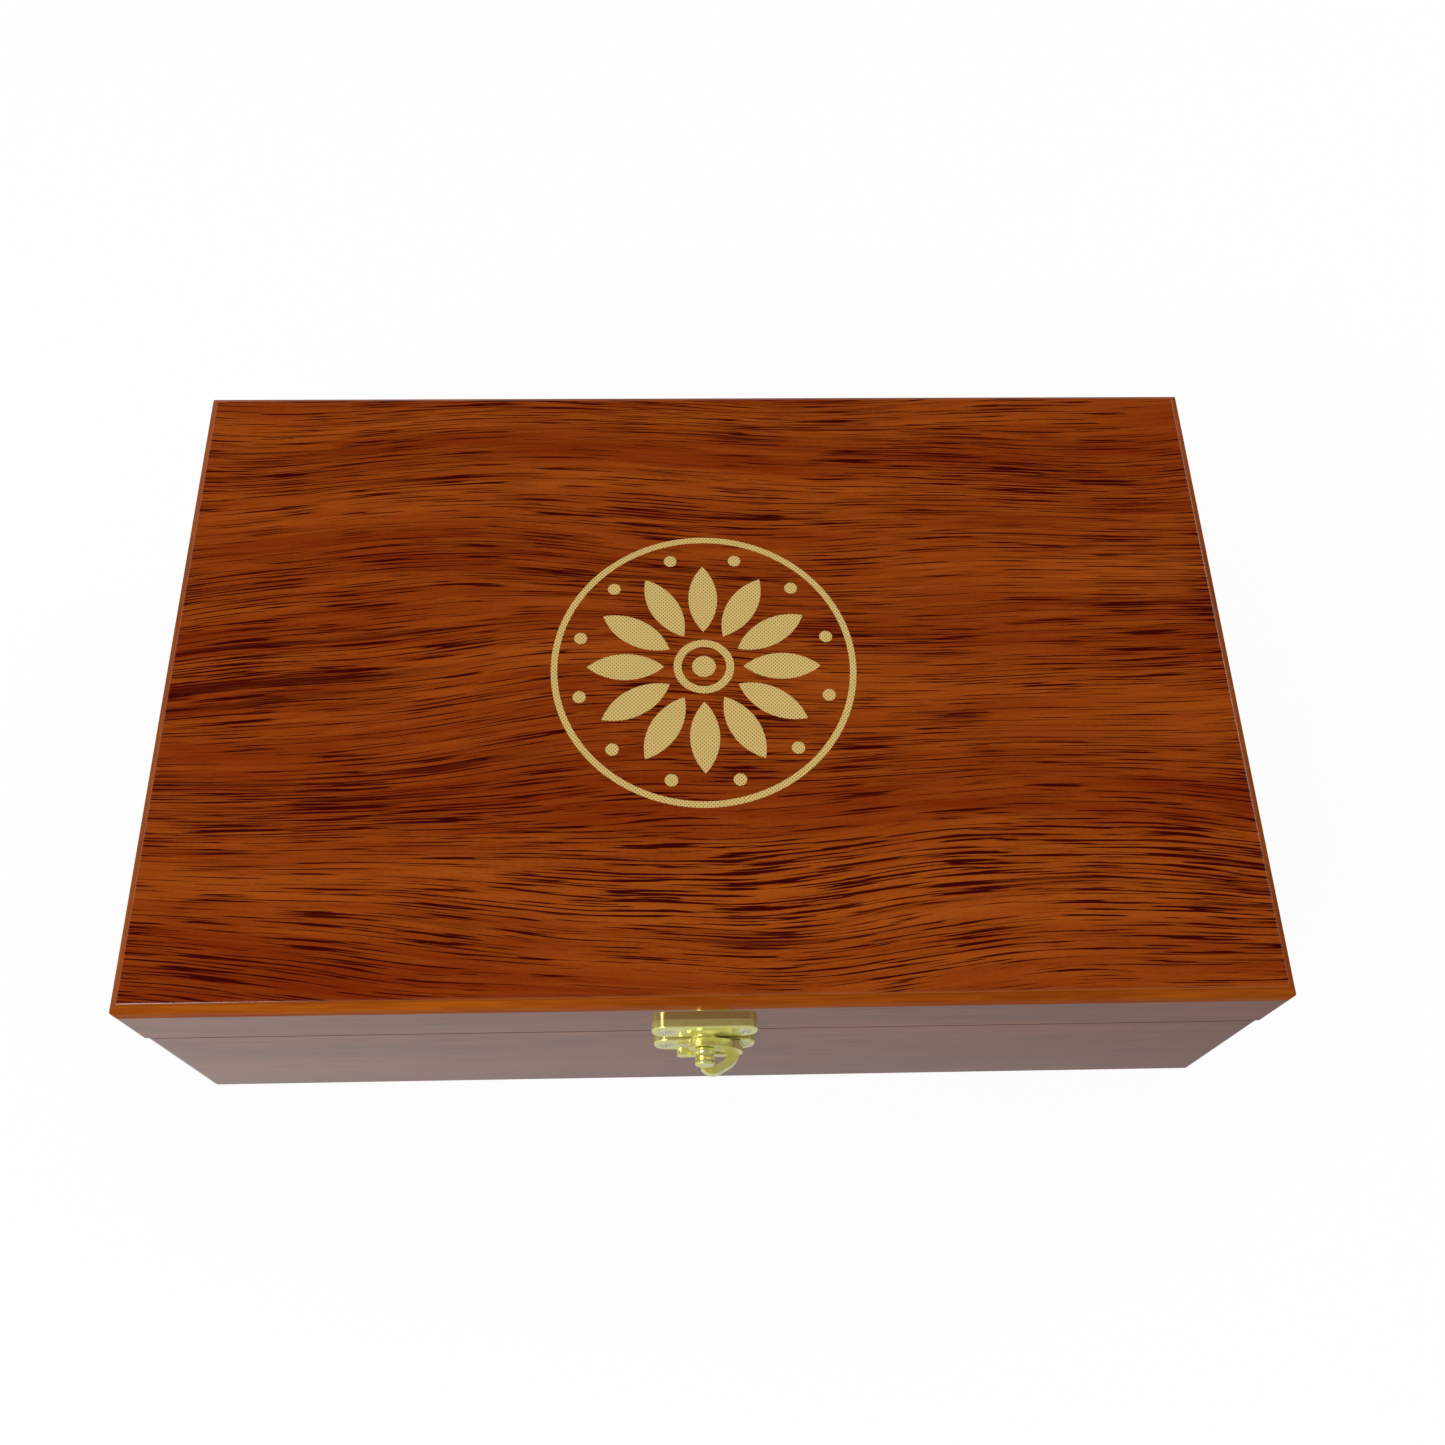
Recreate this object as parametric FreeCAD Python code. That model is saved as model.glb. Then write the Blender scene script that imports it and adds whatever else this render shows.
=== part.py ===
"""A hinged wooden keepsake case with a brass swing-hook catch, all sizes in millimetres.

The origin is the middle of the underside, +Z is up, the catch faces -Y and the hinges are at +Y.
"""

import FreeCAD, Part
import os

# The case.
WIDTH = 300.0             # outside, along X
DEPTH = 192.0             # outside, along Y
BASE_HEIGHT = 59.8
RIM_GAP = 0.4             # between the base's rim and the lid's
SKIRT_HEIGHT = 20.8       # the lid's side boards
LID_BOARD = 5.4           # the top board under its veneer
VENEER = 0.6
WALL = 8.0
LID_CORNER_ROUND = 0.9    # upright outer corners
BASE_CORNER_ROUND = 2.4
BOTTOM_ROUND = 1.0        # lower outer edges of the base
LID_BEVEL = 2.2

# The floor of the base.
FELT = 1.0
BOTTOM_BOARD = 4.0
REBATE = 4.0              # how far the bottom board runs into the walls
BOARD_GAP = 0.1

# The velvet lining.
FLOOR_PAD = 3.0
LID_PAD = 4.0
LINING = 1.5
LINING_GAP = 0.1
LINING_DROP = 1.0         # how far the linings stop short of a rim

# The inlaid ornament in the lid's veneer.
INLAY_RADIUS = 43.0
INLAY_RECESS = 0.35
INLAY_THICKNESS = 0.25
INLAY_GAP = 0.05
RING_WIDTH = 2.0
PETALS = 12
PETAL_INNER = 11.0
PETAL_OUTER = 33.0
PETAL_HALF_WIDTH = 4.2
BEAD_RADIUS = 1.9
BEAD_CIRCLE = 36.0
HUB_OUTER = 8.6
HUB_INNER = 6.2
HUB_DOT = 3.4

# The two stop hinges.
HINGE_X = 90.0
HINGE_LENGTH = 30.0
LEAF_THICKNESS = 1.2
LEAF_DEPTH = 6.5          # how far a leaf runs into the rim
LEAF_GAP = 0.1
KNUCKLE_RADIUS = 2.2
KNUCKLE_STANDOFF = 0.3    # barrel to the back wall
KNUCKLE_CLEAR = 0.3       # round the other leaf's knuckle
KNUCKLE_END_GAP = 0.15
CENTRE_KNUCKLE = 10.0
PIN_RADIUS = 0.9
PIN_CLEAR = 0.05
PIN_PROUD = 0.3
STOP_ANGLE = 95.0
STOP_REACH = 6.0
STOP_THICKNESS = 0.9
STOP_GAP = 0.1
HINGE_SCREW_SPREAD = 9.0
HINGE_HEAD = 1.7
HINGE_SHANK = 0.8
HINGE_SCREW_LENGTH = 8.0

# The catch: sizes are across (u), up from the rim joint (v) and out from the front (o).
CATCH_X = -1.1
PLATE_HALF_WIDTH = 14.0
PLATE_THICKNESS = 2.3
PLATE_LOW = 1.6
PLATE_HIGH = 11.6
PLATE_ROUND = 4.2
PLATE_EDGE = 0.5          # eased outer edge
KEEPER_HALF_WIDTH = 13.7
KEEPER_THICKNESS = 2.3
KEEPER_LOW = -13.0
KEEPER_HIGH = -2.5
BOSS_RADIUS = 3.6
BOSS_OUT = 2.9
BOSS_CLEAR = 0.4
DISH_RADIUS = 4.9
DISH_DEPTH = 0.9
DISH_TOP = 8.8
CATCH_SCREW_SPREAD = 10.4
CATCH_HEAD = 2.0
CATCH_SHANK = 1.0
CATCH_SCREW_LENGTH = 7.0
CATCH_DOME = 0.45
SCREW_CLEAR = 0.05
POST_SHAFT = 1.5
POST_CLEAR = 0.05
POST_SEAT = 1.2           # how deep the post runs into the lid plate
KNOB_RADIUS = 2.7
KNOB_NECK = 2.5
KNOB_LENGTH = 4.4
KEEPER_PIN_RADIUS = 1.1
KEEPER_PIN_V = -5.7
HOOK_CLEAR = 0.2          # hook to boss and hook to knob
HOOK_THICKNESS = 2.05
EYE_RADIUS = 4.25
HOOK_SLOT_V = -7.0        # top of the lower arm, under the keeper pin
ARM_HEIGHT = 3.0
ARM_TIP_U = -6.0
TAIL_HIGH = -7.4
TAIL_LOW = -11.2
TAIL_THICKNESS = 1.9

SPLIT = BASE_HEIGHT + RIM_GAP / 2.0
LID_LOW = BASE_HEIGHT + RIM_GAP
BOARD_LOW = LID_LOW + SKIRT_HEIGHT
HEIGHT = BOARD_LOW + LID_BOARD + VENEER
AXIS_Y = DEPTH / 2.0 + KNUCKLE_RADIUS + KNUCKLE_STANDOFF
HOOK_IN = BOSS_OUT + HOOK_CLEAR
HOOK_OUT = HOOK_IN + HOOK_THICKNESS
KNOB_IN = HOOK_OUT + HOOK_CLEAR

X_AXIS = FreeCAD.Vector(1, 0, 0)
Z_AXIS = FreeCAD.Vector(0, 0, 1)
ORIGIN = FreeCAD.Vector(0, 0, 0)


def vec(x, y, z=0.0):
    return FreeCAD.Vector(x, y, z)


def block(x, y, z):
    """A box from three (low, high) pairs."""
    size = [high - low for low, high in (x, y, z)]
    return Part.makeBox(*size, vec(x[0], y[0], z[0]))


def centred(width, depth, z):
    """A box centred on the Z axis."""
    return block((-width / 2, width / 2), (-depth / 2, depth / 2), z)


def turned(shape, axis, angle):
    copy = shape.copy()
    copy.rotate(ORIGIN, axis, angle)
    return copy


def moved(shape, offset):
    copy = shape.copy()
    copy.translate(offset)
    return copy


def disc(radius, low, high, u=0.0, v=0.0):
    return Part.makeCylinder(radius, high - low, vec(u, v, low))


def save(name, *shapes):
    shape = shapes[0] if len(shapes) == 1 else Part.makeCompound(list(shapes))
    shape.exportStep("parts/" + name + ".step")


def outer_prism(z, corner_round):
    """The case's outline with its upright corner rounds."""
    prism = centred(WIDTH, DEPTH, z)
    upright = [e for e in prism.Edges if abs(e.tangentAt(e.FirstParameter).z) > 0.9]
    return prism.makeFillet(corner_round, upright)


def mitred_board(length, reach, thickness, z, bottom_round=0.0):
    """A board along X with its outer face at y = -reach and a mitre at each end."""
    half = length / 2
    corners = [
        vec(-half, -reach, z[0]),
        vec(half, -reach, z[0]),
        vec(half - thickness, thickness - reach, z[0]),
        vec(thickness - half, thickness - reach, z[0]),
    ]
    board = Part.Face(Part.makePolygon(corners + corners[:1])).extrude(vec(0, 0, z[1] - z[0]))
    if bottom_round:
        edge = [
            e for e in board.Edges
            if all(abs(p.Y + reach) < 1e-6 and abs(p.Z - z[0]) < 1e-6 for p in e.Vertexes)
        ]
        board = board.makeFillet(bottom_round, edge)
    return board


def four_sides(width, depth, thickness, z, bottom_round=0.0):
    """Front, right, back and left boards of a mitred frame."""
    sides = {}
    for name, length, reach, angle in (
        ("front", width, depth / 2, 0),
        ("right", depth, width / 2, 90),
        ("back", width, depth / 2, 180),
        ("left", depth, width / 2, 270),
    ):
        sides[name] = turned(mitred_board(length, reach, thickness, z, bottom_round), Z_AXIS, angle)
    return sides


# Screws. A screw stands on its head's face at z = 0 and points down -Z.

def cross_recess(radius, depth, top):
    arms = [centred(1.3 * radius, 0.28 * radius, (top - depth, top + 1)) for _ in range(2)]
    return arms[0].fuse(turned(arms[1], Z_AXIS, 90))


def screw(head, shank, length, dome):
    """A countersunk wood screw with a pointed end, flat or with a low domed head."""
    cone = head - shank
    body = Part.makeCone(shank, head, cone, vec(0, 0, -cone))
    body = body.fuse(disc(shank, shank - length, -cone))
    body = body.fuse(Part.makeCone(0.2 * shank, shank, shank, vec(0, 0, -length)))
    if dome:
        ball = (head * head + dome * dome) / (2 * dome)
        cap = Part.makeSphere(ball, vec(0, 0, dome - ball)).common(disc(head, 0, dome + 1))
        body = body.fuse(cap)
    return body.removeSplitter().cut(cross_recess(head, 0.35 * head, dome))


def screw_hole(head, shank, length):
    """The countersink and pilot hole for that screw."""
    cone = head - shank
    flare = Part.makeCone(shank + SCREW_CLEAR, head + SCREW_CLEAR, cone, vec(0, 0, -cone))
    return flare.fuse(disc(shank + SCREW_CLEAR, -length - SCREW_CLEAR, -cone))


def on_front(shape, u=0.0, v=0.0, out=0.0):
    """Stands a catch shape, drawn across, up and out, on the front of the case."""
    return moved(turned(moved(shape, vec(u, v, out)), X_AXIS, 90), vec(CATCH_X, -DEPTH / 2, SPLIT))


# The hinges. They are drawn round the pin's axis, with the case towards -Y.

def base_leaf_blank():
    """The base's leaf and its stop flange, without knuckles."""
    half = HINGE_LENGTH / 2
    root = KNUCKLE_RADIUS + KNUCKLE_STANDOFF
    leaf = block((-half, half), (-root - LEAF_DEPTH, 0), (-RIM_GAP / 2 - LEAF_THICKNESS, -RIM_GAP / 2))
    flange = block(
        (-half, half), (KNUCKLE_RADIUS * 0.7, STOP_REACH), (-STOP_THICKNESS - STOP_GAP, -STOP_GAP)
    )
    return leaf.fuse(turned(flange, X_AXIS, -STOP_ANGLE / 2))


def barrel(radius, low, high):
    return Part.makeCylinder(radius, high - low, vec(low, 0, 0), X_AXIS)


def leaf(blank, own, other):
    """A leaf with its own knuckles added and room cut for the other leaf's."""
    shape = blank
    for low, high in other:
        room = barrel(KNUCKLE_RADIUS + KNUCKLE_CLEAR, low - KNUCKLE_END_GAP, high + KNUCKLE_END_GAP)
        shape = shape.cut(room)
    for low, high in own:
        shape = shape.fuse(barrel(KNUCKLE_RADIUS, low, high))
    return shape.removeSplitter().cut(barrel(PIN_RADIUS + PIN_CLEAR, -HINGE_LENGTH, HINGE_LENGTH))


def hinge_leaves():
    half = HINGE_LENGTH / 2
    centre = [(-CENTRE_KNUCKLE / 2, CENTRE_KNUCKLE / 2)]
    edge = CENTRE_KNUCKLE / 2 + KNUCKLE_END_GAP
    ends = [(-half, -edge), (edge, half)]
    blank = base_leaf_blank()
    return leaf(blank, ends, centre), leaf(blank.mirror(ORIGIN, Z_AXIS), centre, ends)


def hinge_screw_spots():
    y = DEPTH / 2 - LEAF_DEPTH / 2
    return [(side * HINGE_X + step * HINGE_SCREW_SPREAD, y) for side in (-1, 1) for step in (-1, 1)]


# The case's boards.

def make_base_walls(holes):
    walls = four_sides(WIDTH, DEPTH, WALL, (0, BASE_HEIGHT), BOTTOM_ROUND)
    prism = outer_prism((0, BASE_HEIGHT), BASE_CORNER_ROUND)
    floor = centred(WIDTH - 2 * (WALL - REBATE), DEPTH - 2 * (WALL - REBATE), (-1, FELT + BOTTOM_BOARD))
    for name, wall in walls.items():
        save("base_" + name + "_wall", wall.common(prism).cut([floor] + holes[name]))


def make_bottom():
    across = WIDTH - 2 * (WALL - REBATE + BOARD_GAP)
    along = DEPTH - 2 * (WALL - REBATE + BOARD_GAP)
    save("base_bottom_board", centred(across, along, (FELT, FELT + BOTTOM_BOARD)))
    save("base_felt_underside", centred(across, along, (0, FELT)))


def make_lid_boards(holes):
    skirts = four_sides(WIDTH, DEPTH, WALL, (LID_LOW, BOARD_LOW))
    prism = outer_prism((LID_LOW, HEIGHT), LID_CORNER_ROUND)
    for name, skirt in skirts.items():
        save("lid_" + name + "_skirt", skirt.common(prism).cut(holes[name]))
    slab = centred(WIDTH, DEPTH, (BOARD_LOW, HEIGHT))
    rim = [e for e in slab.Edges if all(abs(p.Z - HEIGHT) < 1e-6 for p in e.Vertexes)]
    slab = slab.makeChamfer(LID_BEVEL, rim).common(prism)
    save("lid_top_board", slab.common(centred(WIDTH, DEPTH, (BOARD_LOW, HEIGHT - VENEER))))
    veneer = slab.common(centred(WIDTH, DEPTH, (HEIGHT - VENEER, HEIGHT)))
    save("lid_top_veneer", veneer.cut(ornament(HEIGHT - INLAY_RECESS, HEIGHT + 1, 0.0)))
    inlay_low = HEIGHT - INLAY_RECESS
    save("lid_rosette_inlay", *ornament(inlay_low, inlay_low + INLAY_THICKNESS, INLAY_GAP))


def make_linings():
    inner_width = WIDTH - 2 * WALL
    inner_depth = DEPTH - 2 * WALL
    floor_top = FELT + BOTTOM_BOARD + FLOOR_PAD
    lid_pad_low = BOARD_LOW - LID_PAD
    pad_width = inner_width - 2 * LINING_GAP
    pad_depth = inner_depth - 2 * LINING_GAP
    save("base_floor_pad", centred(pad_width, pad_depth, (FELT + BOTTOM_BOARD, floor_top)))
    save("lid_pad", centred(pad_width, pad_depth, (lid_pad_low, BOARD_LOW)))
    for body, z in (
        ("base", (floor_top + LINING_GAP, BASE_HEIGHT - LINING_DROP)),
        ("lid", (LID_LOW + LINING_DROP, lid_pad_low - LINING_GAP)),
    ):
        for name, side in four_sides(inner_width, inner_depth, LINING, z).items():
            save(body + "_lining_" + name, side)


# The ornament: petals between a hub and an outer ring, with a bead over each gap.

def ring(outer, inner, low, high):
    return disc(outer, low, high).cut(disc(inner, low - 1, high + 1))


def petal(low, high, inset):
    half = (PETAL_OUTER - PETAL_INNER) / 2
    wide = PETAL_HALF_WIDTH
    radius = (half * half + wide * wide) / (2 * wide)
    middle = (PETAL_OUTER + PETAL_INNER) / 2
    left, right = (disc(radius - inset, low, high, side * (radius - wide), middle) for side in (-1, 1))
    return left.common(right)


def ornament(low, high, inset):
    """The ornament's pieces, each drawn in by the inset all round."""
    pieces = [
        ring(INLAY_RADIUS - inset, INLAY_RADIUS - RING_WIDTH + inset, low, high),
        ring(HUB_OUTER - inset, HUB_INNER + inset, low, high),
        disc(HUB_DOT - inset, low, high),
    ]
    for i in range(PETALS):
        turn = i * 360.0 / PETALS
        pieces.append(turned(petal(low, high, inset), Z_AXIS, turn))
        bead = disc(BEAD_RADIUS - inset, low, high, 0, BEAD_CIRCLE)
        pieces.append(turned(bead, Z_AXIS, turn + 180.0 / PETALS))
    return pieces


# The hinges and their fastenings.

def make_hinges():
    base_leaf, lid_leaf = hinge_leaves()
    pin = barrel(PIN_RADIUS, -HINGE_LENGTH / 2 - PIN_PROUD, HINGE_LENGTH / 2 + PIN_PROUD)
    sizes = (HINGE_HEAD, HINGE_SHANK, HINGE_SCREW_LENGTH)
    up = screw(*sizes, 0.0)
    down = turned(up, X_AXIS, 180)
    hole_up = screw_hole(*sizes)
    hole_down = turned(hole_up, X_AXIS, 180)
    spots = hinge_screw_spots()
    holes_base = [moved(hole_up, vec(x, y, BASE_HEIGHT)) for x, y in spots]
    holes_lid = [moved(hole_down, vec(x, y, LID_LOW)) for x, y in spots]
    for side, x in (("left", -HINGE_X), ("right", HINGE_X)):
        place = vec(x, AXIS_Y, SPLIT)
        save("base_hinge_leaf_" + side, moved(base_leaf, place).cut(holes_base))
        save("lid_hinge_leaf_" + side, moved(lid_leaf, place).cut(holes_lid))
    save("hinge_pins", *[moved(pin, vec(x, AXIS_Y, SPLIT)) for x in (-HINGE_X, HINGE_X)])
    save("base_hinge_screws", *[moved(up, vec(x, y, BASE_HEIGHT)) for x, y in spots])
    save("lid_hinge_screws", *[moved(down, vec(x, y, LID_LOW)) for x, y in spots])
    mortise_x = HINGE_LENGTH / 2 + LEAF_GAP
    mortise_y = (DEPTH / 2 - LEAF_DEPTH - LEAF_GAP, DEPTH / 2 + 1)
    for x in (-HINGE_X, HINGE_X):
        span = (x - mortise_x, x + mortise_x)
        holes_base.append(block(span, mortise_y, (BASE_HEIGHT - LEAF_THICKNESS, BASE_HEIGHT + 1)))
        holes_lid.append(block(span, mortise_y, (LID_LOW - 1, LID_LOW + LEAF_THICKNESS)))
    return holes_base, holes_lid


# The catch.

def plate_blank(half, low, high, thickness):
    """A round-ended plate with an eased outer edge."""
    plate = block((-half, half), (low, high), (0, thickness))
    upright = [e for e in plate.Edges if abs(e.tangentAt(e.FirstParameter).z) > 0.9]
    plate = plate.makeFillet(min(PLATE_ROUND, 0.45 * (high - low)), upright)
    face = [e for e in plate.Edges if all(abs(p.Z - thickness) < 1e-6 for p in e.Vertexes)]
    return plate.makeFillet(PLATE_EDGE, face)


def catch_holes(v, thickness):
    hole = screw_hole(CATCH_HEAD, CATCH_SHANK, CATCH_SCREW_LENGTH)
    return [moved(hole, vec(s * CATCH_SCREW_SPREAD, v, thickness)) for s in (-1, 1)]


def catch_screws(v, thickness):
    one = screw(CATCH_HEAD, CATCH_SHANK, CATCH_SCREW_LENGTH, CATCH_DOME)
    return [on_front(one, s * CATCH_SCREW_SPREAD, v, thickness) for s in (-1, 1)]


def make_plates():
    lid_v = (PLATE_LOW + PLATE_HIGH) / 2
    keeper_v = (KEEPER_LOW + KEEPER_HIGH) / 2
    lid_holes = catch_holes(lid_v, PLATE_THICKNESS)
    keeper_holes = catch_holes(keeper_v, KEEPER_THICKNESS)

    plate = plate_blank(PLATE_HALF_WIDTH, PLATE_LOW, PLATE_HIGH, PLATE_THICKNESS)
    dish = Part.makeCone(
        DISH_RADIUS - 1.4 * DISH_DEPTH, DISH_RADIUS + 1.4 * DISH_DEPTH, 2 * DISH_DEPTH,
        vec(0, DISH_TOP, PLATE_THICKNESS - DISH_DEPTH),
    )
    below_top = block((-PLATE_HALF_WIDTH, PLATE_HALF_WIDTH), (PLATE_LOW, DISH_TOP), (0, 2 * BOSS_OUT))
    plate = plate.cut(dish.common(below_top))
    tongue_back = block((-BOSS_RADIUS, BOSS_RADIUS), (-BOSS_RADIUS, 0), (0, HOOK_CLEAR))
    plate = plate.fuse(disc(BOSS_RADIUS, 0, BOSS_OUT).cut(tongue_back))
    post_hole = disc(POST_SHAFT + POST_CLEAR, BOSS_OUT - POST_SEAT, BOSS_OUT + 1)
    save("catch_lid_plate", on_front(plate.cut(lid_holes + [post_hole])))

    keeper = plate_blank(KEEPER_HALF_WIDTH, KEEPER_LOW, KEEPER_HIGH, KEEPER_THICKNESS)
    arch = disc(BOSS_RADIUS + BOSS_CLEAR, -1, 2 * BOSS_OUT)
    pin_hole = disc(KEEPER_PIN_RADIUS + POST_CLEAR, KEEPER_THICKNESS - POST_SEAT, BOSS_OUT, 0, KEEPER_PIN_V)
    save("catch_keeper_plate", on_front(keeper.cut(keeper_holes + [arch, pin_hole])))
    pin = disc(KEEPER_PIN_RADIUS, KEEPER_THICKNESS - POST_SEAT, HOOK_OUT, 0, KEEPER_PIN_V)
    tip = [e for e in pin.Edges if all(abs(p.Z - HOOK_OUT) < 1e-6 for p in e.Vertexes)]
    save("catch_keeper_pin", on_front(pin.makeFillet(0.4 * KEEPER_PIN_RADIUS, tip)))

    save("catch_lid_screws", *catch_screws(lid_v, PLATE_THICKNESS))
    save("catch_keeper_screws", *catch_screws(keeper_v, KEEPER_THICKNESS))
    return [on_front(hole) for hole in keeper_holes], [on_front(hole) for hole in lid_holes]


def make_post():
    """The turned post that carries the hook, with its waisted knob."""
    low = BOSS_OUT - POST_SEAT
    high = KNOB_IN + KNOB_LENGTH
    lip = 0.18 * KNOB_LENGTH
    points = [
        vec(0, 0, low), vec(POST_SHAFT, 0, low), vec(POST_SHAFT, 0, KNOB_IN), vec(KNOB_RADIUS, 0, KNOB_IN),
        vec(KNOB_RADIUS, 0, KNOB_IN + lip), vec(KNOB_NECK, 0, KNOB_IN + 1.6 * lip),
        vec(KNOB_NECK, 0, high - 2.4 * lip), vec(KNOB_RADIUS, 0, high - 1.6 * lip),
        vec(KNOB_RADIUS, 0, high - 0.5 * lip), vec(KNOB_RADIUS - 0.5 * lip, 0, high), vec(0, 0, high),
    ]
    profile = Part.Face(Part.makePolygon(points + points[:1]))
    save("catch_post_knob", on_front(profile.revolve(ORIGIN, Z_AXIS, 360)))


def outline_face(steps):
    """A face from a start point and steps of one point (a line) or two (an arc through the first)."""
    here = first = steps[0]
    edges = []
    for step in steps[1:] + [(first,)]:
        if len(step) == 2 and isinstance(step[0], tuple):
            through, end = step
            edges.append(Part.Arc(vec(*here), vec(*through), vec(*end)).toShape())
        else:
            end = step[0]
            if end != here:
                edges.append(Part.LineSegment(vec(*here), vec(*end)).toShape())
        here = end
    return Part.Face(Part.Wire(edges))


def make_hook():
    """A flat C-shaped hook round the post, with a finger tail that curls out from its heel."""
    arm_low = HOOK_SLOT_V - ARM_HEIGHT
    tip_v = HOOK_SLOT_V - ARM_HEIGHT / 2
    reach = 2.4 * EYE_RADIUS
    slot_end = 1.5 * EYE_RADIUS
    plan = outline_face([
        (-EYE_RADIUS, 0.0),
        ((-0.7 * EYE_RADIUS, 0.714 * EYE_RADIUS), (0.1, EYE_RADIUS)),
        ((0.72 * reach, 0.27 * EYE_RADIUS), (reach, -EYE_RADIUS)),
        ((0.9 * reach, tip_v), (0.62 * reach, arm_low)),
        ((ARM_TIP_U, arm_low),),
        ((ARM_TIP_U - ARM_HEIGHT / 2, tip_v), (ARM_TIP_U, HOOK_SLOT_V)),
        ((0.8 * slot_end, HOOK_SLOT_V),),
        ((slot_end, 0.88 * HOOK_SLOT_V), (0.8 * slot_end, 0.7 * HOOK_SLOT_V)),
        ((0.75 * EYE_RADIUS, -0.66 * EYE_RADIUS),),
        ((0.0, -EYE_RADIUS), (-EYE_RADIUS, 0.0)),
    ])
    flat = moved(plan.extrude(vec(0, 0, HOOK_THICKNESS)), vec(0, 0, HOOK_IN))

    # The tail is drawn across and out, then stood up to run from TAIL_LOW to TAIL_HIGH.
    heel = reach - 0.4
    root = HOOK_IN + 0.5
    out = HOOK_OUT + 5.0
    side = outline_face([
        (heel, root),
        ((heel - 0.8, HOOK_OUT + 0.9), (0.52 * reach, out - 1.1)),
        ((0.22 * reach, out + 0.1), (-0.8, out - 1.3)),
        ((-0.95, out - 1.8), (-0.5, out - 1.9)),
        ((0.22 * reach, out - TAIL_THICKNESS + 0.1), (0.36 * reach, out - 2.6)),
        ((0.62 * reach, HOOK_OUT), (0.66 * reach, root)),
    ])
    tail = side.extrude(vec(0, 0, TAIL_LOW - TAIL_HIGH))
    tail = moved(turned(tail, X_AXIS, 90), vec(0, TAIL_LOW, 0))
    bore = disc(POST_SHAFT + POST_CLEAR, 0, KNOB_IN + KNOB_LENGTH)
    save("catch_hook", on_front(flat.fuse(tail).removeSplitter().cut(bore)))


os.makedirs("parts", exist_ok=True)
hinge_cuts_base, hinge_cuts_lid = make_hinges()
catch_cuts_base, catch_cuts_lid = make_plates()
make_base_walls({"front": catch_cuts_base, "back": hinge_cuts_base, "left": [], "right": []})
make_lid_boards({"front": catch_cuts_lid, "back": hinge_cuts_lid, "left": [], "right": []})
make_bottom()
make_linings()
make_post()
make_hook()
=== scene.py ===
import bmesh
import bpy
import math
from mathutils import Matrix, Vector


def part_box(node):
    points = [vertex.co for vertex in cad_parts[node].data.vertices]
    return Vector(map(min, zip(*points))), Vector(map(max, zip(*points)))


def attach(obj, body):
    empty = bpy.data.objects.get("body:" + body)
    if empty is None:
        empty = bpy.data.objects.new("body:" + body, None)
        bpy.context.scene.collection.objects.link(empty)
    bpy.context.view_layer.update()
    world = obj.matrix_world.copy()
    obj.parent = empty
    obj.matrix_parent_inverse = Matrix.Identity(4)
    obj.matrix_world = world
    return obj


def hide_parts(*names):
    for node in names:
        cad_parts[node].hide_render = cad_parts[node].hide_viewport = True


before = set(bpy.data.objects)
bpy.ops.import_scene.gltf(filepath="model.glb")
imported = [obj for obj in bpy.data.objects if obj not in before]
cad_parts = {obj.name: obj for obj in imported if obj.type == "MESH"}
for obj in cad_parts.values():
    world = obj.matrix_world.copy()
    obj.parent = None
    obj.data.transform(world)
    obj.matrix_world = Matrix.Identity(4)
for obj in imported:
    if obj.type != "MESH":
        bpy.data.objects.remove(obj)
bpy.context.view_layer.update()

# The camera stands above the front of the case and looks steeply down on the lid,
# turned a little to the right and tipped a little on its side.
camera_data = bpy.data.cameras.new("camera")
camera_data.sensor_width = 36.0
camera_data.lens = 35.07
camera_data.clip_start = 0.01
camera = bpy.data.objects.new("camera", camera_data)
bpy.context.scene.collection.objects.link(camera)
bpy.context.scene.camera = camera
look_down, look_right, tip = math.radians(63.994), math.radians(3.773), math.radians(2.827)
camera.matrix_world = (
    Matrix.Translation((-0.00635, -0.18728, 0.43549))
    @ Matrix.Rotation(-look_right, 4, "Z")
    @ Matrix.Rotation(math.pi / 2 - look_down, 4, "X")
    @ Matrix.Rotation(tip, 4, "Z")
)
bpy.context.scene.view_settings.view_transform = "Standard"


def new_material(name, color, roughness, metallic=0.0):
    """A material with its own Principled shader, returned with its nodes and links."""
    material = bpy.data.materials.new(name)
    material.use_nodes = True
    shader = material.node_tree.nodes["Principled BSDF"]
    shader.inputs["Base Color"].default_value = (*color, 1)
    shader.inputs["Roughness"].default_value = roughness
    shader.inputs["Metallic"].default_value = metallic
    return material, shader, material.node_tree


def add_node(tree, kind, *feeds, **values):
    """A node with its settings; feeds are (input, socket) links and other values go on inputs."""
    node = tree.nodes.new(kind)
    for name, value in values.items():
        if hasattr(node, name):
            setattr(node, name, value)
        else:
            node.inputs[name.replace("_", " ").title()].default_value = value
    for index, socket in feeds:
        if isinstance(socket, (int, float)):
            node.inputs[index].default_value = socket
        else:
            tree.links.new(socket, node.inputs[index])
    return node


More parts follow.
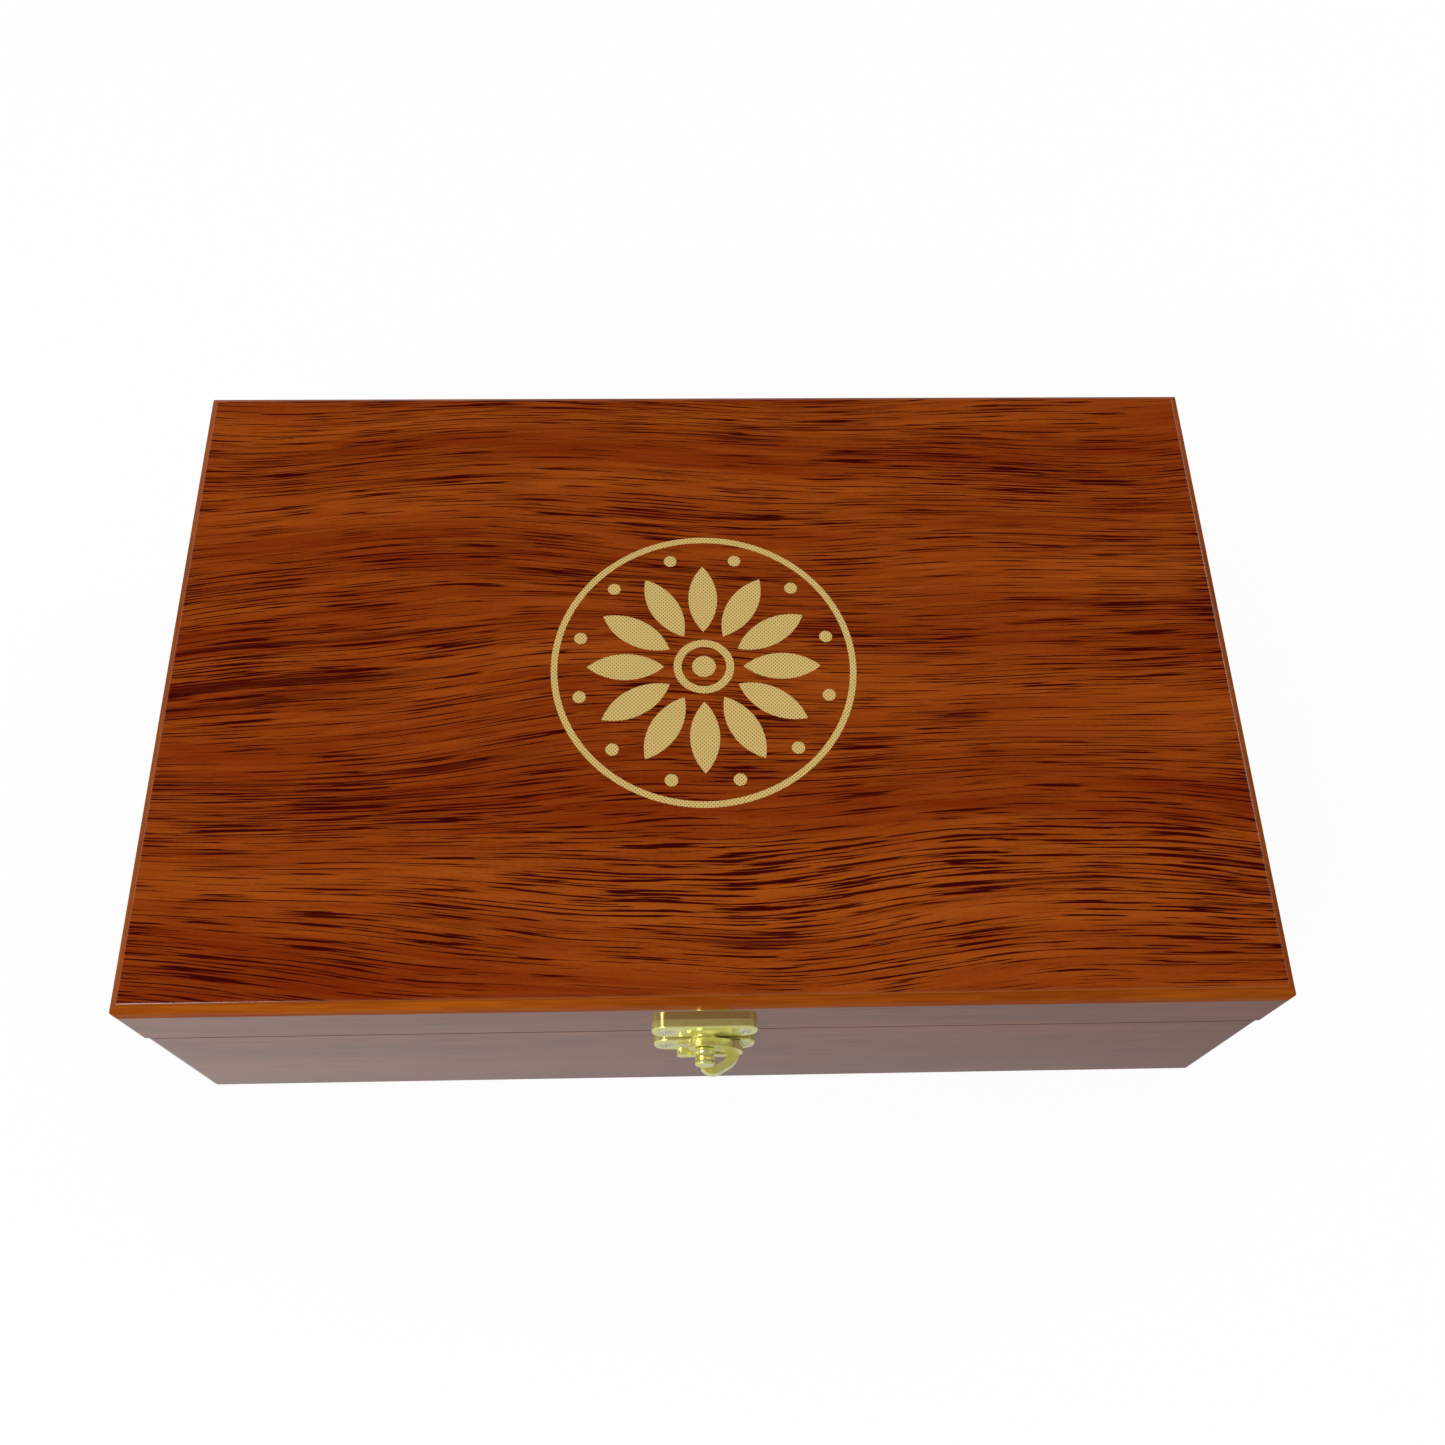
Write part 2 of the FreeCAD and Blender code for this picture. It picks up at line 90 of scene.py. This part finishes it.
# The table top is a matt white sheet with soft shadows. Polished surfaces mirror it as a painted reflection
# glow, bright on the left and darker towards the right.
floor_mesh = bpy.data.meshes.new("table_top")
floor_form = bmesh.new()
bmesh.ops.create_grid(floor_form, x_segments=1, y_segments=1, size=4.0)
floor_form.to_mesh(floor_mesh)
floor_form.free()
floor = bpy.data.objects.new("table_top", floor_mesh)
bpy.context.scene.collection.objects.link(floor)
white, white_shader, tree = new_material("white_table", (0.9, 0.9, 0.9), 0.9)
white_shader.inputs["Specular IOR Level"].default_value = 0.0
path = add_node(tree, "ShaderNodeLightPath")
place = add_node(tree, "ShaderNodeTexCoord")
across = add_node(tree, "ShaderNodeSeparateXYZ", (0, place.outputs["Object"]))
# Painted reflection: only reflections see this glow, brighter at the left and dimmer at the right.
painted_reflection_level = add_node(
    tree, "ShaderNodeMapRange", (0, across.outputs["X"]), (1, -0.30), (2, 0.35), (3, 0.75), (4, 0.19)
)
painted_reflection_glow = add_node(tree, "ShaderNodeEmission", (0, painted_reflection_level.outputs[0]))
plain_glow = add_node(tree, "ShaderNodeEmission")
seen = add_node(
    tree, "ShaderNodeMixShader", (0, 0.95), (1, white_shader.outputs[0]), (2, plain_glow.outputs[0])
)
direct = add_node(
    tree, "ShaderNodeMixShader",
    (0, path.outputs["Is Camera Ray"]), (1, white_shader.outputs[0]), (2, seen.outputs[0]),
)
# Reflections see the painted reflection glow instead of the lit table.
shown = add_node(
    tree, "ShaderNodeMixShader",
    (0, path.outputs["Is Glossy Ray"]), (1, direct.outputs[0]), (2, painted_reflection_glow.outputs[0]),
)
tree.links.new(shown.outputs[0], tree.nodes["Material Output"].inputs["Surface"])
floor_mesh.materials.append(white)

# The room is white to the eye, a soft fill to the case, and darkens overhead
# where polished metal and lacquer mirror it.
world = bpy.data.worlds.new("room")
bpy.context.scene.world = world
world.use_nodes = True
tree = world.node_tree
fill = tree.nodes["Background"]
fill.inputs["Color"].default_value = (1.0, 0.98, 0.95, 1)
fill.inputs["Strength"].default_value = 0.55
path = add_node(tree, "ShaderNodeLightPath")
place = add_node(tree, "ShaderNodeTexCoord")
up = add_node(tree, "ShaderNodeSeparateXYZ", (0, place.outputs["Generated"]))
overhead = add_node(
    tree, "ShaderNodeMapRange", (0, up.outputs["Z"]), (1, 0.05), (2, 0.70), (3, 0.75), (4, 0.30)
)
mirrored_room = add_node(tree, "ShaderNodeBackground", (1, overhead.outputs[0]))
backdrop = add_node(tree, "ShaderNodeBackground")
room = add_node(
    tree, "ShaderNodeMixShader",
    (0, path.outputs["Is Glossy Ray"]), (1, fill.outputs[0]), (2, mirrored_room.outputs[0]),
)
eye = add_node(
    tree, "ShaderNodeMath", (0, path.outputs["Is Camera Ray"]), (1, path.outputs["Is Transmission Ray"]),
    operation="MAXIMUM",
)
whole = add_node(
    tree, "ShaderNodeMixShader", (0, eye.outputs[0]), (1, room.outputs[0]), (2, backdrop.outputs[0])
)
tree.links.new(whole.outputs[0], tree.nodes["World Output"].inputs["Surface"])


# Two soft lamps: a large one over the front left and a smaller one at the back right.
def add_lamp(name, power, size, spot, aim=(0.0, 0.0, 0.05)):
    lamp_data = bpy.data.lights.new(name, "AREA")
    lamp_data.energy = power
    lamp_data.size = size
    lamp = bpy.data.objects.new(name, lamp_data)
    lamp.location = spot
    lamp.rotation_euler = (Vector(spot) - Vector(aim)).to_track_quat("Z", "Y").to_euler()
    bpy.context.scene.collection.objects.link(lamp)


add_lamp("front_left_lamp", 11.0, 0.7, (-0.85, -0.75, 1.05))
add_lamp("back_right_lamp", 3.0, 0.5, (0.9, 0.55, 0.9))


# The side boards are mitred fibreboard under dark-streaked orange-brown veneer with
# a thick clear lacquer. The grain runs along each board, and the rims are stained dark.
def veneer_group():
    """Streaked veneer: colour and height from a vector of along, across and depth in metres."""
    group = bpy.data.node_groups.new("streaked_veneer", "ShaderNodeTree")
    group.interface.new_socket("Vector", in_out="INPUT", socket_type="NodeSocketVector")
    for name in ("Light", "Body", "Streak"):
        group.interface.new_socket(name, in_out="INPUT", socket_type="NodeSocketColor")
    group.interface.new_socket("Color", in_out="OUTPUT", socket_type="NodeSocketColor")
    group.interface.new_socket("Height", in_out="OUTPUT", socket_type="NodeSocketFloat")
    start = group.nodes.new("NodeGroupInput")
    end = group.nodes.new("NodeGroupOutput")
    vector = start.outputs["Vector"]

    def noise(source, stretch, detail=2.0, rough=0.5):
        spread = add_node(group, "ShaderNodeVectorMath", (0, source), operation="MULTIPLY")
        spread.inputs[1].default_value = stretch
        cloud = add_node(group, "ShaderNodeTexNoise", ("Vector", spread.outputs[0]))
        cloud.inputs["Scale"].default_value = 1.0
        cloud.inputs["Detail"].default_value = detail
        cloud.inputs["Roughness"].default_value = rough
        return cloud.outputs[0]

    def step(value, low, high):
        out = add_node(group, "ShaderNodeMapRange", (0, value), (1, low), (2, high))
        out.interpolation_type = "SMOOTHSTEP"
        return out.outputs[0]

    def calc(kind, *terms):
        return add_node(group, "ShaderNodeMath", *enumerate(terms), operation=kind).outputs[0]

    # Slow waves bend the grain, most where the tree leaned.
    lean = calc("MULTIPLY_ADD", noise(vector, (4.5, 9.0, 7.0), 1.0), 0.048, -0.024)
    ripple = calc("MULTIPLY_ADD", noise(vector, (17.0, 50.0, 60.0), 1.0), 0.0022, -0.0011)
    bend = add_node(group, "ShaderNodeCombineXYZ", (1, calc("ADD", lean, ripple)))
    bent = add_node(group, "ShaderNodeVectorMath", (0, vector), (1, bend.outputs[0]), operation="ADD")
    grain = bent.outputs[0]

    tone = noise(grain, (2.6, 34.0, 20.0), 3.0)
    fine_tone = noise(grain, (18.0, 420.0, 60.0), 3.0, 0.6)
    clumps = noise(grain, (9.0, 46.0, 30.0), 2.0)
    bands = noise(grain, (4.5, 380.0, 60.0), 3.0, 0.6)
    pores = noise(grain, (36.0, 2000.0, 200.0), 2.0, 0.5)
    flecks = noise(grain, (700.0, 1500.0, 900.0), 1.0)

    warm = calc("MULTIPLY_ADD", fine_tone, 0.7, calc("MULTIPLY_ADD", tone, 1.1, -0.42))
    base = add_node(group, "ShaderNodeMix", (0, step(warm, 0.15, 0.85)), data_type="RGBA")
    group.links.new(start.outputs["Body"], base.inputs[6])
    group.links.new(start.outputs["Light"], base.inputs[7])

    band_mask = calc("MULTIPLY", step(bands, 0.43, 0.33), step(clumps, 0.42, 0.58))
    pore_level = calc("MULTIPLY_ADD", clumps, 0.34, 0.276)
    pore_mask = step(calc("SUBTRACT", pore_level, pores), -0.015, 0.035)
    dark = calc("MAXIMUM", calc("MULTIPLY", band_mask, 0.85), calc("MULTIPLY", pore_mask, 1.0))
    streaked = add_node(group, "ShaderNodeMix", (0, dark), data_type="RGBA")
    group.links.new(base.outputs[2], streaked.inputs[6])
    group.links.new(start.outputs["Streak"], streaked.inputs[7])
    shade = calc("MULTIPLY_ADD", flecks, 0.34, 0.83)
    fleck_tone = add_node(group, "ShaderNodeCombineColor", (0, shade), (1, shade), (2, shade))
    finish = add_node(group, "ShaderNodeMix", (0, 1.0), data_type="RGBA", blend_type="MULTIPLY")
    group.links.new(streaked.outputs[2], finish.inputs[6])
    group.links.new(fleck_tone.outputs[0], finish.inputs[7])
    group.links.new(finish.outputs[2], end.inputs["Color"])
    group.links.new(calc("SUBTRACT", 1.0, dark), end.inputs["Height"])
    return group


veneer = veneer_group()
TOP_VENEER = ((0.350, 0.073, 0.006, 1), (0.172, 0.016, 0.001, 1), (0.044, 0.0012, 0.0006, 1))
SIDE_VENEER = ((0.225, 0.055, 0.009, 1), (0.130, 0.018, 0.002, 1), (0.085, 0.012, 0.002, 1))


def add_lacquer(shader, depth):
    """A clear gloss coat over the base finish; depth 1 is a thick one."""
    shader.inputs["Coat Weight"].default_value = depth
    shader.inputs["Coat Roughness"].default_value = 0.045
    shader.inputs["Coat IOR"].default_value = 1.5
    shader.inputs["Specular IOR Level"].default_value = 0.0


def veneer_material(name, along, across, offset, bump=0.06, colors=SIDE_VENEER):
    """Lacquered veneer whose grain runs along one axis; across weighs the other axes together."""
    material, shader, tree = new_material(name, colors[0][:3], 0.42)
    place = add_node(tree, "ShaderNodeTexCoord")
    side = add_node(tree, "ShaderNodeVectorMath", (0, place.outputs["Object"]), operation="DOT_PRODUCT")
    side.inputs[1].default_value = across
    run = add_node(tree, "ShaderNodeVectorMath", (0, place.outputs["Object"]), operation="DOT_PRODUCT")
    run.inputs[1].default_value = along
    vector = add_node(
        tree, "ShaderNodeCombineXYZ", (0, run.outputs["Value"]), (1, side.outputs["Value"]), (2, offset)
    )
    grain = add_node(tree, "ShaderNodeGroup", node_tree=veneer)
    tree.links.new(vector.outputs[0], grain.inputs["Vector"])
    for socket, color in zip(("Light", "Body", "Streak"), colors):
        grain.inputs[socket].default_value = color
    tree.links.new(grain.outputs["Color"], shader.inputs["Base Color"])
    relief = add_node(tree, "ShaderNodeBump", ("Height", grain.outputs["Height"]))
    relief.inputs["Strength"].default_value = bump
    relief.inputs["Distance"].default_value = 0.0002
    tree.links.new(relief.outputs[0], shader.inputs["Normal"])
    add_lacquer(shader, 1.0)
    return material, shader, tree, grain


def eased_copy(node, body, width, segments=2, reach=0.0):
    """A copy of a CAD piece with its sharp edges eased, standing in its place.

    Edges nearer the middle than this share of the case's outline stay sharp.
    """
    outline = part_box("lid_top_board")[1]
    sharp_turn = 0.6
    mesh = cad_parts[node].data.copy()
    form = bmesh.new()
    form.from_mesh(mesh)
    bmesh.ops.remove_doubles(form, verts=form.verts, dist=2e-6)
    bmesh.ops.dissolve_limit(form, angle_limit=0.01, verts=form.verts, edges=form.edges)
    sharp = [
        e for e in form.edges if len(e.link_faces) == 2 and e.calc_face_angle(0.0) > sharp_turn
        and all(max(abs(v.co.x) / outline[0], abs(v.co.y) / outline[1]) >= reach for v in e.verts)
    ]
    bmesh.ops.bevel(
        form, geom=sharp, offset=width, offset_type="OFFSET", segments=segments,
        profile=0.5, affect="EDGES", clamp_overlap=True, material=-1,
    )
    for face in form.faces:
        face.smooth = True
    form.to_mesh(mesh)
    form.free()
    mesh.materials.clear()
    piece = bpy.data.objects.new(node + "_finish", mesh)
    bpy.context.scene.collection.objects.link(piece)
    weighted = piece.modifiers.new("flat_faces", "WEIGHTED_NORMAL")
    weighted.keep_sharp = True
    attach(piece, body)
    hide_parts(node)
    return piece


long_boards = veneer_material("veneer_long_boards", (1, 0, 0), (0, 0.8, 1), 0.31)[0]
short_boards = veneer_material("veneer_short_boards", (0, 1, 0), (0.8, 0, 1), 0.67)[0]
dark_rim = new_material("dark_stained_rim", (0.055, 0.016, 0.008), 0.55)[0]
for body, part in (("base", "wall"), ("lid", "skirt")):
    for side in ("front", "back", "left", "right"):
        board = eased_copy(f"{body}_{side}_{part}", body, 0.00025)
        board.data.materials.append(long_boards if side in ("front", "back") else short_boards)
        board.data.materials.append(dark_rim)
        for face in board.data.polygons:
            face.material_index = int(abs(face.normal.z) > 0.3)

# The bottom board is bare brown fibreboard, let into rebates in the walls. It is
# hidden by felt below and by velvet above.
fibre, fibre_shader, tree = new_material("bare_fibreboard", (0.33, 0.20, 0.11), 0.85)
place = add_node(tree, "ShaderNodeTexCoord")
lint = add_node(tree, "ShaderNodeTexNoise", ("Vector", place.outputs["Object"]))
lint.inputs["Scale"].default_value = 900.0
lint.inputs["Detail"].default_value = 4.0
lint_tone = add_node(tree, "ShaderNodeMix", (0, lint.outputs[0]), data_type="RGBA")
lint_tone.inputs[6].default_value = (0.25, 0.145, 0.075, 1)
lint_tone.inputs[7].default_value = (0.42, 0.27, 0.16, 1)
tree.links.new(lint_tone.outputs[2], fibre_shader.inputs["Base Color"])
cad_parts["base_bottom_board"].data.materials.clear()
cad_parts["base_bottom_board"].data.materials.append(fibre)


# The underside is covered with one piece of pressed black felt, glued flush with
# the lower edges of the walls. Its fibres make a fine matted nap.
def cloth_material(name, low, high, grain, sheen):
    """A short-napped cloth: mottled colour, a soft sheen and a fine fibrous relief."""
    material, shader, tree = new_material(name, high, 0.95)
    place = add_node(tree, "ShaderNodeTexCoord")
    nap = add_node(tree, "ShaderNodeTexNoise", ("Vector", place.outputs["Object"]))
    nap.inputs["Scale"].default_value = grain
    nap.inputs["Detail"].default_value = 5.0
    nap.inputs["Roughness"].default_value = 0.7
    brushed = add_node(tree, "ShaderNodeTexNoise", ("Vector", place.outputs["Object"]))
    brushed.inputs["Scale"].default_value = 38.0
    brushed.inputs["Detail"].default_value = 3.0
    both = add_node(
        tree, "ShaderNodeMath", (0, nap.outputs[0]), (1, 0.45), (2, brushed.outputs[0]),
        operation="MULTIPLY_ADD",
    )
    spread = add_node(tree, "ShaderNodeMapRange", (0, both.outputs[0]), (1, 0.5), (2, 0.95))
    tone = add_node(tree, "ShaderNodeMix", (0, spread.outputs[0]), data_type="RGBA")
    tone.inputs[6].default_value = (*low, 1)
    tone.inputs[7].default_value = (*high, 1)
    tree.links.new(tone.outputs[2], shader.inputs["Base Color"])
    relief = add_node(tree, "ShaderNodeBump", ("Height", nap.outputs[0]))
    relief.inputs["Strength"].default_value = 0.25
    relief.inputs["Distance"].default_value = 0.0004
    tree.links.new(relief.outputs[0], shader.inputs["Normal"])
    shader.inputs["Sheen Weight"].default_value = sheen
    shader.inputs["Sheen Roughness"].default_value = 0.35
    shader.inputs["Specular IOR Level"].default_value = 0.15
    return material


def soft_panel(node, body, material, edge, crown, axis):
    """A cloth-covered panel in a CAD pad's place: rounded edges and a low crown across its face."""
    low, high = (Vector(corner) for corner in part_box(node))
    middle, half = (low + high) / 2, (high - low) / 2
    form = bmesh.new()
    bmesh.ops.create_cube(form, size=2.0)
    bmesh.ops.scale(form, vec=half, verts=form.verts)
    bmesh.ops.bevel(
        form, geom=form.edges[:], offset=edge, offset_type="OFFSET", segments=4,
        profile=0.5, affect="EDGES", clamp_overlap=True, material=-1,
    )
    for cut_axis in range(3):
        if cut_axis == axis:
            continue
        normal = [0, 0, 0]
        normal[cut_axis] = 1
        count = max(4, int(half[cut_axis] / 0.006))
        for i in range(1, count):
            spot = [0, 0, 0]
            spot[cut_axis] = half[cut_axis] * (2 * i / count - 1)
            bmesh.ops.bisect_plane(
                form, geom=form.verts[:] + form.edges[:] + form.faces[:], plane_co=spot, plane_no=normal
            )
    others = [i for i in range(3) if i != axis]
    for vert in form.verts:
        if vert.co[axis] * crown[1] > 0:
            fall = 1.0
            for i in others:
                fall *= 1 - min(1.0, abs(vert.co[i]) / half[i]) ** 6
            vert.co[axis] -= crown[1] * crown[0] * (1 - fall)
    bmesh.ops.translate(form, vec=middle, verts=form.verts)
    for face in form.faces:
        face.smooth = True
    mesh = bpy.data.meshes.new(node + "_cloth")
    form.to_mesh(mesh)
    form.free()
    mesh.materials.append(material)
    piece = bpy.data.objects.new(node + "_cloth", mesh)
    bpy.context.scene.collection.objects.link(piece)
    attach(piece, body)
    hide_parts(node)
    return piece


felt = cloth_material("pressed_black_felt", (0.008, 0.008, 0.009), (0.035, 0.035, 0.038), 1600.0, 0.15)
soft_panel("base_felt_underside", "base", felt, 0.0003, (0.0, -1), 2)

# The inside is lined with deep blue velvet: a thin foam pad on the floor, another
# under the lid board, and velvet over card along every wall.
velvet = cloth_material("deep_blue_velvet", (0.006, 0.010, 0.060), (0.022, 0.036, 0.200), 1900.0, 0.65)
soft_panel("base_floor_pad", "base", velvet, 0.0011, (0.0012, 1), 2)
soft_panel("lid_pad", "lid", velvet, 0.0015, (0.0020, -1), 2)
for body in ("base", "lid"):
    for side, axis, inward in (("front", 1, 1), ("back", 1, -1), ("left", 0, 1), ("right", 0, -1)):
        node = f"{body}_lining_{side}"
        soft_panel(node, body, velvet, 0.00055, (0.0003, inward), axis)


# The top board's bevelled edge is bare of veneer: it is stained a lighter orange
# and lacquered, with faint lines of its own along each side.
edge_stain, edge_shader, tree = new_material("orange_lacquered_edge", (0.32, 0.085, 0.006), 0.4)
place = add_node(tree, "ShaderNodeTexCoord")


def edge_lines(tree, source, stretch):
    spread = add_node(tree, "ShaderNodeVectorMath", (0, source), operation="MULTIPLY")
    spread.inputs[1].default_value = stretch
    lines = add_node(tree, "ShaderNodeTexNoise", ("Vector", spread.outputs[0]))
    lines.inputs["Scale"].default_value = 1.0
    lines.inputs["Detail"].default_value = 3.0
    return lines.outputs[0]


blotches = edge_lines(tree, place.outputs["Object"], (16.0, 16.0, 160.0))
threads = edge_lines(tree, place.outputs["Object"], (70.0, 70.0, 1400.0))
mixed = add_node(tree, "ShaderNodeMath", (0, blotches), (1, threads), operation="ADD")
spread = add_node(tree, "ShaderNodeMapRange", (0, mixed.outputs[0]), (1, 0.7), (2, 1.3))
stain = add_node(tree, "ShaderNodeMix", (0, spread.outputs[0]), data_type="RGBA")
stain.inputs[6].default_value = (0.215, 0.036, 0.001, 1)
stain.inputs[7].default_value = (0.360, 0.082, 0.003, 1)
tree.links.new(stain.outputs[2], edge_shader.inputs["Base Color"])
add_lacquer(edge_shader, 0.12)
top_board = eased_copy("lid_top_board", "lid", 0.0005, 3)
top_board.data.materials.append(edge_stain)

# The lid's top is one sheet of the same veneer in stronger colours. Its bevelled rim
# takes the orange stain, and the eased edge between the two is the glossiest part.
sheet, sheet_shader, tree, sheet_grain = veneer_material(
    "veneer_lid_top", (1, 0, 0), (0, 1, 0.6), 0.0, bump=0.10, colors=TOP_VENEER
)
place = add_node(tree, "ShaderNodeTexCoord")
facing = add_node(tree, "ShaderNodeSeparateXYZ", (0, place.outputs["Normal"]))
rim = add_node(tree, "ShaderNodeMapRange", (0, facing.outputs["Z"]), (1, 0.8), (2, 0.97), (3, 0.0), (4, 1.0))
two_tone = add_node(tree, "ShaderNodeMix", (0, rim.outputs[0]), data_type="RGBA")
two_tone.inputs[6].default_value = (0.29, 0.062, 0.002, 1)
tree.links.new(sheet_grain.outputs["Color"], two_tone.inputs[7])
tree.links.new(two_tone.outputs[2], sheet_shader.inputs["Base Color"])
off_top = add_node(
    tree, "ShaderNodeMapRange", (0, facing.outputs["Z"]), (1, 0.985), (2, 0.999), (3, 1.0), (4, 0.08)
)
off_bevel = add_node(
    tree, "ShaderNodeMapRange", (0, facing.outputs["Z"]), (1, 0.72), (2, 0.78), (3, 0.12), (4, 1.0)
)
gloss = add_node(
    tree, "ShaderNodeMath", (0, off_top.outputs[0]), (1, off_bevel.outputs[0]), operation="MULTIPLY"
)
tree.links.new(gloss.outputs[0], sheet_shader.inputs["Coat Weight"])
eased_copy("lid_top_veneer", "lid", 0.00045, 4, reach=0.93).data.materials.append(sheet)

# The rosette is gold leaf laid in a shallow engraving: a fine lattice of dots with
# a plain gold line round every shape.
gold_dots, dots_shader, tree = new_material("dotted_gold", (0.70, 0.50, 0.17), 0.45, 0.25)
place = add_node(tree, "ShaderNodeTexCoord")
turn = add_node(tree, "ShaderNodeMapping", ("Vector", place.outputs["Object"]))
turn.inputs["Rotation"].default_value = (0, 0, math.radians(45))
turned = add_node(tree, "ShaderNodeSeparateXYZ", (0, turn.outputs[0]))
DOT_PITCH = 0.00078
waves = []
for axis in ("X", "Y"):
    phase = add_node(
        tree, "ShaderNodeMath", (0, turned.outputs[axis]), (1, 2 * math.pi / DOT_PITCH), operation="MULTIPLY"
    )
    waves.append(add_node(tree, "ShaderNodeMath", (0, phase.outputs[0]), operation="SINE").outputs[0])
lattice = add_node(tree, "ShaderNodeMath", (0, waves[0]), (1, waves[1]), operation="ADD")
pits = add_node(tree, "ShaderNodeMapRange", (0, lattice.outputs[0]), (1, -1.5), (2, -0.1))
leaf = add_node(tree, "ShaderNodeMix", (0, pits.outputs[0]), data_type="RGBA")
leaf.inputs[6].default_value = (0.30, 0.19, 0.035, 1)
leaf.inputs[7].default_value = (0.80, 0.57, 0.19, 1)
tree.links.new(leaf.outputs[2], dots_shader.inputs["Base Color"])
stipple = add_node(tree, "ShaderNodeBump", ("Height", pits.outputs[0]))
stipple.inputs["Strength"].default_value = 0.4
stipple.inputs["Distance"].default_value = 0.0001
tree.links.new(stipple.outputs[0], dots_shader.inputs["Normal"])
gold_line, line_shader, tree = new_material("plain_gold_line", (0.82, 0.60, 0.22), 0.35, 0.25)
place = add_node(tree, "ShaderNodeTexCoord")
wear = add_node(tree, "ShaderNodeTexNoise", ("Vector", place.outputs["Object"]))
wear.inputs["Scale"].default_value = 600.0
worn = add_node(tree, "ShaderNodeMapRange", (0, wear.outputs[0]), (1, 0.3), (2, 0.7), (3, 0.25), (4, 0.5))
tree.links.new(worn.outputs[0], line_shader.inputs["Roughness"])

inlay_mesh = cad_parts["lid_rosette_inlay"].data.copy()
inlay_form = bmesh.new()
inlay_form.from_mesh(inlay_mesh)
bmesh.ops.remove_doubles(inlay_form, verts=inlay_form.verts, dist=2e-6)
bmesh.ops.dissolve_limit(inlay_form, angle_limit=0.01, verts=inlay_form.verts, edges=inlay_form.edges)
tops = [f for f in inlay_form.faces if f.normal.z > 0.9]
for face in inlay_form.faces:
    face.material_index = 1
bmesh.ops.inset_region(inlay_form, faces=tops, thickness=0.0003, use_even_offset=True)
for face in tops:
    face.material_index = 0
inlay_form.to_mesh(inlay_mesh)
inlay_form.free()
inlay_mesh.materials.clear()
inlay_mesh.materials.append(gold_dots)
inlay_mesh.materials.append(gold_line)
inlay = bpy.data.objects.new("lid_rosette_gold", inlay_mesh)
bpy.context.scene.collection.objects.link(inlay)
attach(inlay, "lid")
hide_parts("lid_rosette_inlay")


# The hinges are satin brass stop hinges let into both rims; the pins are a darker brass,
# a little more worn, and the screws a pale polished brass.
def brass_material(name, color, roughness, wear, brushed=(400.0, 400.0, 400.0)):
    """Yellow metal with a finely uneven polish and faint dark and light toning that follows it."""
    material, shader, tree = new_material(name, color, roughness, 1.0)
    place = add_node(tree, "ShaderNodeTexCoord")
    spread = add_node(tree, "ShaderNodeVectorMath", (0, place.outputs["Object"]), operation="MULTIPLY")
    spread.inputs[1].default_value = brushed
    polish = add_node(tree, "ShaderNodeTexNoise", ("Vector", spread.outputs[0]))
    polish.inputs["Scale"].default_value = 1.0
    polish.inputs["Detail"].default_value = 4.0
    haze = add_node(
        tree, "ShaderNodeMapRange", (0, polish.outputs[0]), (1, 0.3), (2, 0.7),
        (3, roughness - wear), (4, roughness + wear),
    )
    tree.links.new(haze.outputs[0], shader.inputs["Roughness"])
    tone = add_node(tree, "ShaderNodeMix", (0, polish.outputs[0]), data_type="RGBA")
    tone.inputs[6].default_value = (*(0.86 * c for c in color), 1)
    tone.inputs[7].default_value = (*(min(1.0, 1.08 * c) for c in color), 1)
    tree.links.new(tone.outputs[2], shader.inputs["Base Color"])
    relief = add_node(tree, "ShaderNodeBump", ("Height", polish.outputs[0]))
    relief.inputs["Strength"].default_value = 0.06
    relief.inputs["Distance"].default_value = 0.0002
    tree.links.new(relief.outputs[0], shader.inputs["Normal"])
    return material


hinge_brass = brass_material("satin_hinge_brass", (0.72, 0.52, 0.19), 0.30, 0.08, (120.0, 1800.0, 1800.0))
for side in ("left", "right"):
    for body in ("base", "lid"):
        leaf_piece = eased_copy(f"{body}_hinge_leaf_{side}", body, 0.00015)
        leaf_piece.data.materials.append(hinge_brass)
pin_brass = brass_material("hinge_pin_brass", (0.62, 0.44, 0.17), 0.25, 0.06)
eased_copy("hinge_pins", "base", 0.0002).data.materials.append(pin_brass)
screw_brass = brass_material("polished_screw_brass", (0.93, 0.90, 0.66), 0.30, 0.06)
for node, body in (
    ("base_hinge_screws", "base"), ("lid_hinge_screws", "lid"),
    ("catch_lid_screws", "lid"), ("catch_keeper_screws", "base"),
):
    eased_copy(node, body, 0.00006).data.materials.append(screw_brass)

# The catch is die cast, plated and polished to a pale greenish gold. Its plates,
# post and hook have softly rounded edges.
plated_gold = brass_material("plated_gold", (1.0, 0.93, 0.32), 0.17, 0.05)
plated_gold.node_tree.nodes["Principled BSDF"].inputs["Metallic"].default_value = 0.76
for node, body, ease in (
    ("catch_lid_plate", "lid", 0.0004), ("catch_keeper_plate", "base", 0.0004),
    ("catch_post_knob", "lid", 0.0002), ("catch_keeper_pin", "base", 0.0001), ("catch_hook", "hook", 0.0004),
):
    eased_copy(node, body, ease, 3).data.materials.append(plated_gold)
